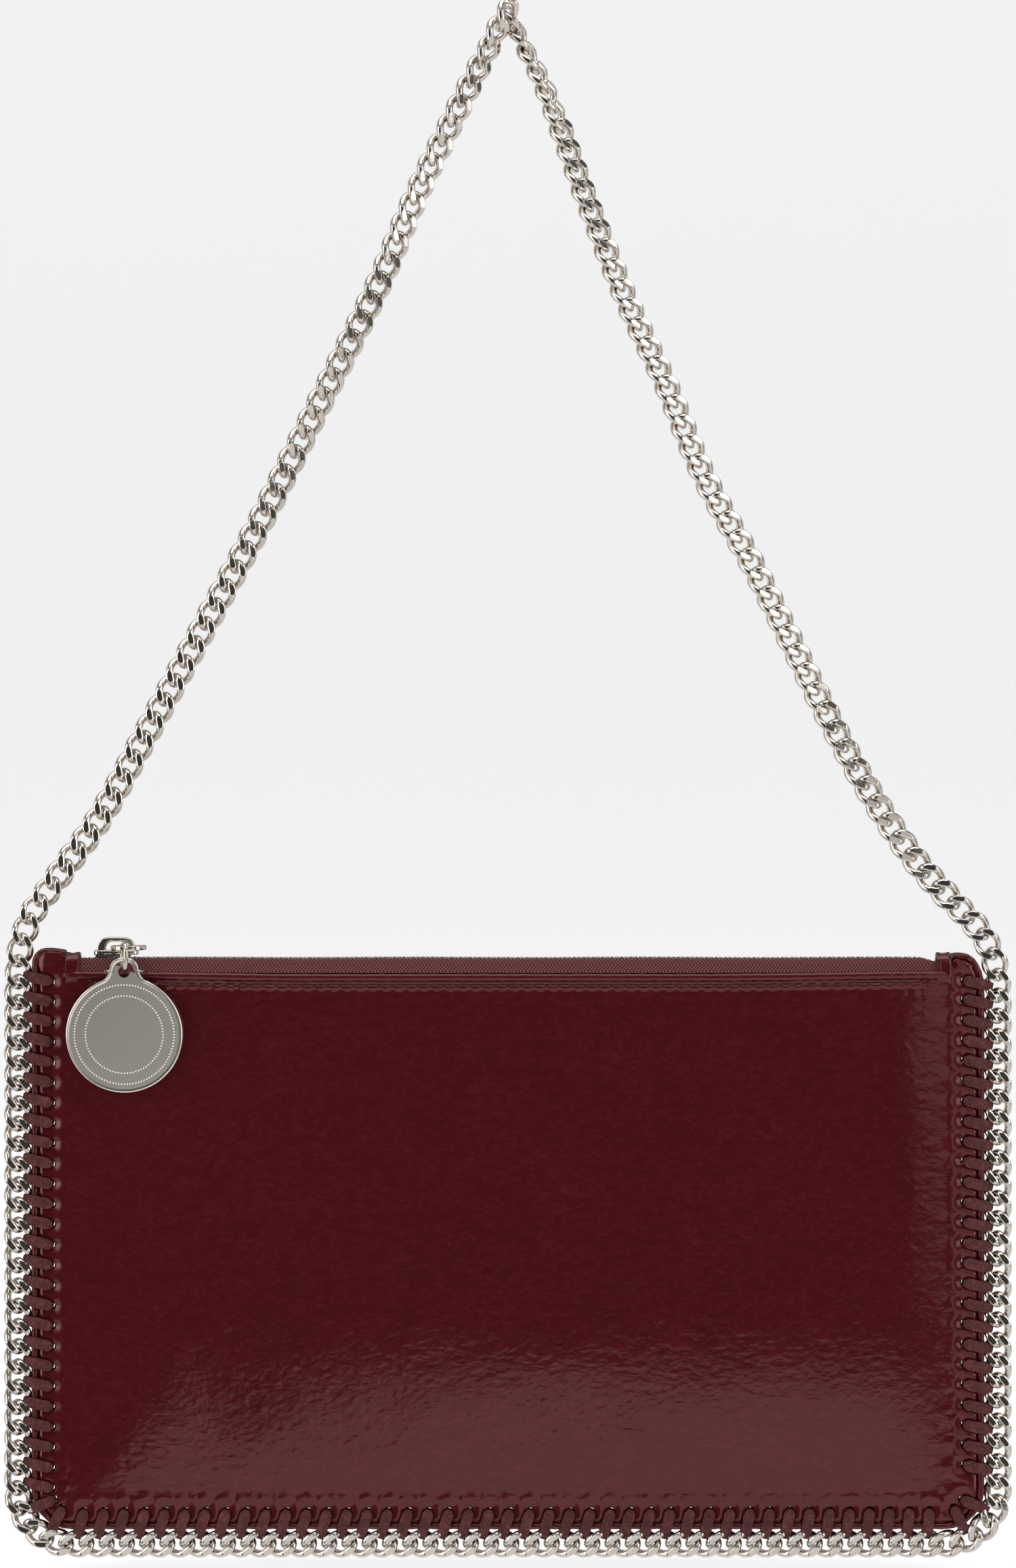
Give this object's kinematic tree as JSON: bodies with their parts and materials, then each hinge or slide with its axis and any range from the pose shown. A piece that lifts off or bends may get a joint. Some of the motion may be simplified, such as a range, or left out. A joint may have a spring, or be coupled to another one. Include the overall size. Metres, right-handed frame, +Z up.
{
  "type": "long wallet",
  "caption": "Flat zipped leather pouch whip-laced all round to a curb chain that carries on as its shoulder strap, with a round charm on the zip pull.",
  "frame": {"origin": "inside the top links of the strap, where a hook or hand carries it", "axes": "+Z up along the hanging strap, front faces -Y, +X to the right"},
  "size_m": [0.2506, 0.0179, 0.3877],
  "materials": {
    "chain_metal": "bright plated, diamond-cut flats",
    "patent_leather": "glossy crinkled patent, burgundy",
    "plain_leather": "matt burgundy",
    "lace_leather": "matt flat lace, burgundy",
    "lining": "fine twill",
    "thread": "polyester thread",
    "zip_tape": "herringbone tape",
    "zip_metal": "polished",
    "pull_metal": "pale nickel-gold plate, polished"
  },
  "bodies": {
    "strap": {"strap_chain_left": "chain_metal", "strap_chain_right": "chain_metal"},
    "link_upper": {"corner_links_upper": "chain_metal"},
    "link_lower": {"corner_links_lower": "chain_metal"},
    "mouth_front": {"zip_tape_front": "zip_tape", "zip_teeth_front": "zip_metal"},
    "mouth_rear": {"zip_tape_rear": "zip_tape", "zip_teeth_rear": "zip_metal"},
    "slider": {"zip_slider": "pull_metal"},
    "pull": {"pull_link": "pull_metal"},
    "ring": {"jump_ring": "pull_metal"},
    "disc": {"disc_charm": "pull_metal"},
    "pouch": {"border_chain_left": "chain_metal", "border_chain_bottom": "chain_metal", "border_chain_right": "chain_metal", "lace_left": "lace_leather", "lace_bottom": "lace_leather", "lace_right": "lace_leather", "front_panel": "patent_leather", "back_panel": "patent_leather", "front_lining": "lining", "back_lining": "lining", "edge_core": "plain_leather", "front_hem": "patent_leather", "rear_hem": "patent_leather", "hem_stitches": "thread", "card_pocket": "lining", "pocket_welt": "lining", "zip_tape_ends": "zip_tape", "zip_teeth_ends": "zip_metal", "zip_top_stops": "zip_metal", "zip_bottom_stop": "zip_metal", "zip_end_tabs": "plain_leather"}
  },
  "joints": [
    {"name": "strap_link_hinge", "type": "hinge", "parent": "strap", "child": "link_upper", "pos_m": [-0.00049, 0, -0.22938], "axis": [0.9999, 0, -0.0158], "range_deg": [-16, 12]},
    {"name": "corner_link_hinge", "type": "hinge", "parent": "link_upper", "child": "link_lower", "pos_m": [-0.00018, 0, -0.23432], "axis": [0.9999, 0, -0.0144], "range_deg": [-18, 15]},
    {"name": "pouch_hinge", "type": "hinge", "parent": "link_lower", "child": "pouch", "pos_m": [0, 0, -0.2396], "axis": [0.9999, 0, -0.014], "range_deg": [-20, 20]},
    {"name": "zip_slide", "type": "slide", "parent": "pouch", "child": "slider", "axis": [1, 0, 0], "range_m": [0, 0.194]},
    {"name": "mouth_front_fold", "type": "hinge", "parent": "pouch", "child": "mouth_front", "pos_m": [0, -0.0047, -0.2407], "axis": [1, 0, 0], "range_deg": [0, 60]},
    {"name": "mouth_rear_fold", "type": "hinge", "parent": "pouch", "child": "mouth_rear", "pos_m": [0, 0.0047, -0.2407], "axis": [-1, 0, 0], "range_deg": [0, 60]},
    {"name": "pull_lift", "type": "hinge", "parent": "slider", "child": "pull", "pos_m": [-0.0974, 0.0014, -0.2345], "axis": [-1, 0, 0], "range_deg": [0, 18]},
    {"name": "ring_swing", "type": "hinge", "parent": "pull", "child": "ring", "pos_m": [-0.09495, -0.00825, -0.2345], "axis": [-1, 0, 0], "range_deg": [0, 100]},
    {"name": "disc_swing", "type": "hinge", "parent": "ring", "child": "disc", "pos_m": [-0.09495, -0.00825, -0.23955], "axis": [0, 1, 0], "range_deg": [-30, 30]}
  ]
}
